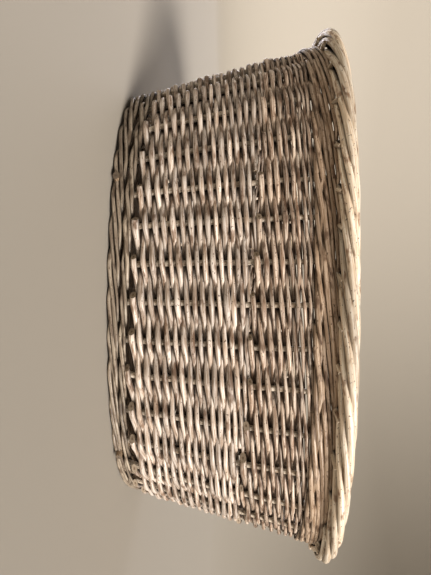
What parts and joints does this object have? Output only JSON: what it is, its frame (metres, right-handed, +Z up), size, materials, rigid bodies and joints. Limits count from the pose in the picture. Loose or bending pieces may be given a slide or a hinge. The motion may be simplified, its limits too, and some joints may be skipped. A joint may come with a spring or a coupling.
{
  "type": "woven willow basket",
  "caption": "Open oval-sided willow basket with flared randed walls on upright stakes, waled foot and rim, a stick base and a thick rolled rod border.",
  "frame": {"origin": "middle of the foot, on the surface the basket stands on", "axes": "+Z up through the open mouth, X along the basket's length, Y across its width"},
  "size_m": [0.7288, 0.5134, 0.27],
  "materials": {
    "weathered_willow": "weathered buff willow rods, matt, grey-beige with brown mottling",
    "tan_willow": "buff willow rods, satin to matt, warm tan darkening to brown at the rim",
    "border_willow": "thick buff willow rods, satin, pale straw to tan",
    "stake": "willow stakes, matt, grey-brown",
    "base_stick": "stout willow sticks with cut ends, matt, brown-grey"
  },
  "bodies": {
    "root": {"base_cross_stick_1": "base_stick", "base_cross_stick_2": "base_stick", "base_cross_stick_3": "base_stick", "base_cross_stick_4": "base_stick", "base_cross_stick_5": "base_stick", "base_cross_stick_6": "base_stick", "base_long_stick_1": "base_stick", "base_long_stick_2": "base_stick", "base_long_stick_3": "base_stick", "base_weave": "weathered_willow", "upsett_wale": "weathered_willow", "stake_01": "stake", "stake_02": "stake", "stake_03": "stake", "stake_04": "stake", "stake_05": "stake", "stake_06": "stake", "stake_07": "stake", "stake_08": "stake", "stake_09": "stake", "stake_10": "stake", "stake_11": "stake", "stake_12": "stake", "stake_13": "stake", "stake_14": "stake", "stake_15": "stake", "stake_16": "stake", "stake_17": "stake", "stake_18": "stake", "stake_19": "stake", "stake_20": "stake", "stake_21": "stake", "stake_22": "stake", "stake_23": "stake", "stake_24": "stake", "stake_25": "stake", "stake_26": "stake", "stake_27": "stake", "stake_28": "stake", "stake_29": "stake", "stake_30": "stake", "stake_31": "stake", "stake_32": "stake", "stake_33": "stake", "stake_34": "stake", "stake_35": "stake", "stake_36": "stake", "lower_randing": "weathered_willow", "upper_randing": "tan_willow", "top_wale": "tan_willow", "rod_border": "border_willow"}
  },
  "joints": []
}
